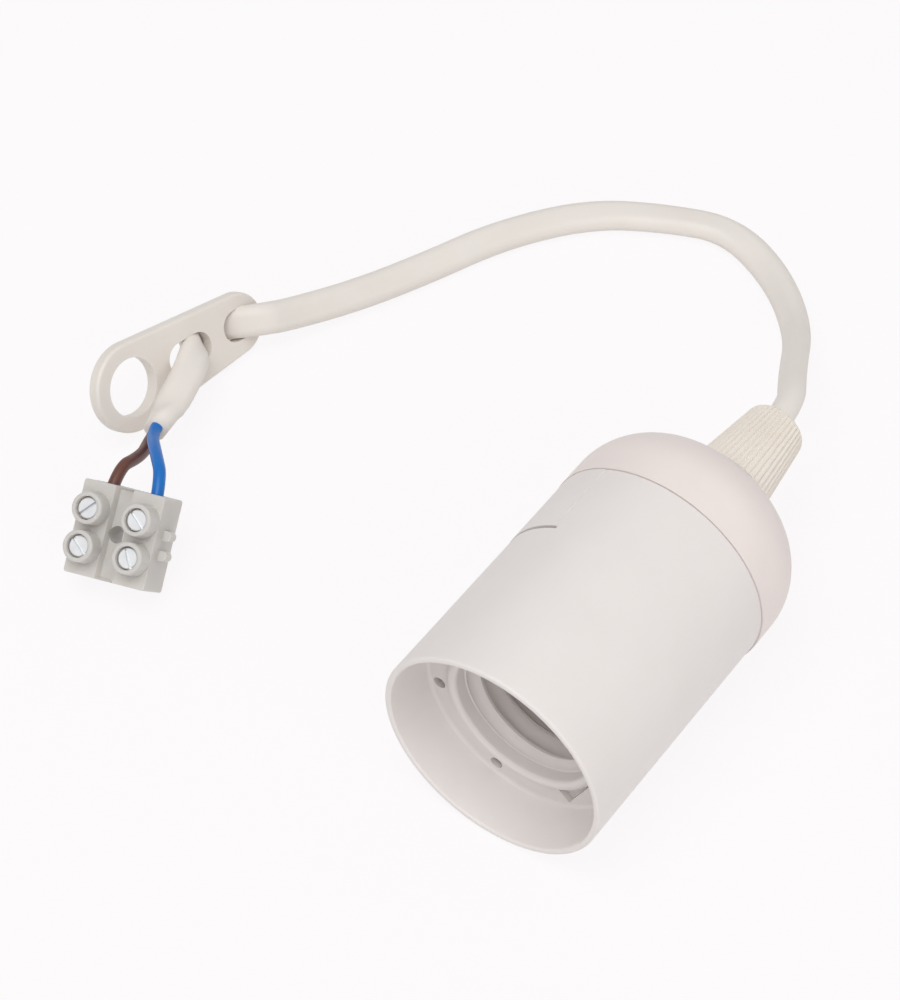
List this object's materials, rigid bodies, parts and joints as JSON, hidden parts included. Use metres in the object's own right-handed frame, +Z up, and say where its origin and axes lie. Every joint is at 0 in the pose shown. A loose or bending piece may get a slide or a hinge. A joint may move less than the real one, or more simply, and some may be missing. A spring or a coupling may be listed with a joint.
{
  "type": "lamp holder",
  "caption": "Lamp holder lying on its side with a plain cylindrical skirt, rounded cap, fluted grip nut, short lead, hanging plate and screw terminal block.",
  "frame": {"origin": "on the surface below the middle of the holder, without the lead and what is on it", "axes": "+Y along the holder toward the grip nut, the mouth toward -Y, +Z up"},
  "size_m": [0.1339, 0.1456, 0.0435],
  "materials": {
    "skirt_plastic": "semi gloss white",
    "dome_plastic": "semi gloss warm white",
    "nut_plastic": "semi gloss warm white",
    "base_plastic": "matt white",
    "sheath_plastic": "soft matt white",
    "plate_plastic": "semi gloss white",
    "block_plastic": "translucent milky",
    "blue_insulation": "smooth",
    "brown_insulation": "smooth",
    "brass": "plain rolled",
    "plated_steel": "zinc plated"
  },
  "bodies": {
    "holder": {"dome_cap": "dome_plastic", "contact_base": "base_plastic", "centre_contact": "brass", "side_contact": "brass", "centre_rivet": "brass", "side_rivet": "brass", "centre_terminal": "brass", "side_terminal": "brass", "inner_core_brown": "brown_insulation", "inner_core_blue": "blue_insulation", "cord_sheath": "sheath_plastic", "hook_plate": "plate_plastic", "core_blue": "blue_insulation", "core_brown": "brown_insulation", "terminal_block": "block_plastic", "terminal_tube_blue": "brass", "terminal_tube_brown": "brass"},
    "skirt": {"skirt": "skirt_plastic"},
    "collet": {"grip_collet": "nut_plastic"},
    "nut": {"grip_nut": "nut_plastic"},
    "base_screw_centre": {"base_screw_centre": "plated_steel"},
    "base_screw_side": {"base_screw_side": "plated_steel"},
    "block_screw_1": {"block_screw_1": "plated_steel"},
    "block_screw_2": {"block_screw_2": "plated_steel"},
    "block_screw_3": {"block_screw_3": "plated_steel"},
    "block_screw_4": {"block_screw_4": "plated_steel"}
  },
  "joints": [
    {"name": "skirt_turn", "type": "hinge", "parent": "holder", "child": "skirt", "pos_m": [0, 0, 0.0217], "axis": [0, 1, 0], "range_deg": [0, 90]},
    {"name": "nut_travel", "type": "slide", "parent": "holder", "child": "collet", "axis": [0, 1, 0], "range_m": [0, 0.00187]},
    {"name": "nut_turn", "type": "hinge", "parent": "collet", "child": "nut", "pos_m": [0, 0, 0.0217], "axis": [0, 1, 0], "range_deg": [0, 450]},
    {"name": "base_screw_centre_turn", "type": "hinge", "parent": "holder", "child": "base_screw_centre", "pos_m": [0.0085, 0.00142, 0.0217], "axis": [0, 0, 1], "range_deg": [0, 360]},
    {"name": "base_screw_side_turn", "type": "hinge", "parent": "holder", "child": "base_screw_side", "pos_m": [-0.0085, 0.00142, 0.0217], "axis": [0, 0, 1], "range_deg": [0, 360]},
    {"name": "block_screw_1_turn", "type": "hinge", "parent": "holder", "child": "block_screw_1", "pos_m": [-0.0919, -0.03585, 0.01376], "axis": [0.0499, -0.6384, 0.7681], "range_deg": [0, 360]},
    {"name": "block_screw_2_turn", "type": "hinge", "parent": "holder", "child": "block_screw_2", "pos_m": [-0.0824, -0.03375, 0.01489], "axis": [0.0499, -0.6384, 0.7681], "range_deg": [0, 360]},
    {"name": "block_screw_3_turn", "type": "hinge", "parent": "holder", "child": "block_screw_3", "pos_m": [-0.09026, -0.04095, 0.00941], "axis": [0.0499, -0.6384, 0.7681], "range_deg": [0, 360]},
    {"name": "block_screw_4_turn", "type": "hinge", "parent": "holder", "child": "block_screw_4", "pos_m": [-0.08076, -0.03885, 0.01054], "axis": [0.0499, -0.6384, 0.7681], "range_deg": [0, 360]}
  ],
  "couplings": [
    {"joint": "nut_turn", "follows": "nut_travel", "rad_per_m": 4188.8}
  ]
}
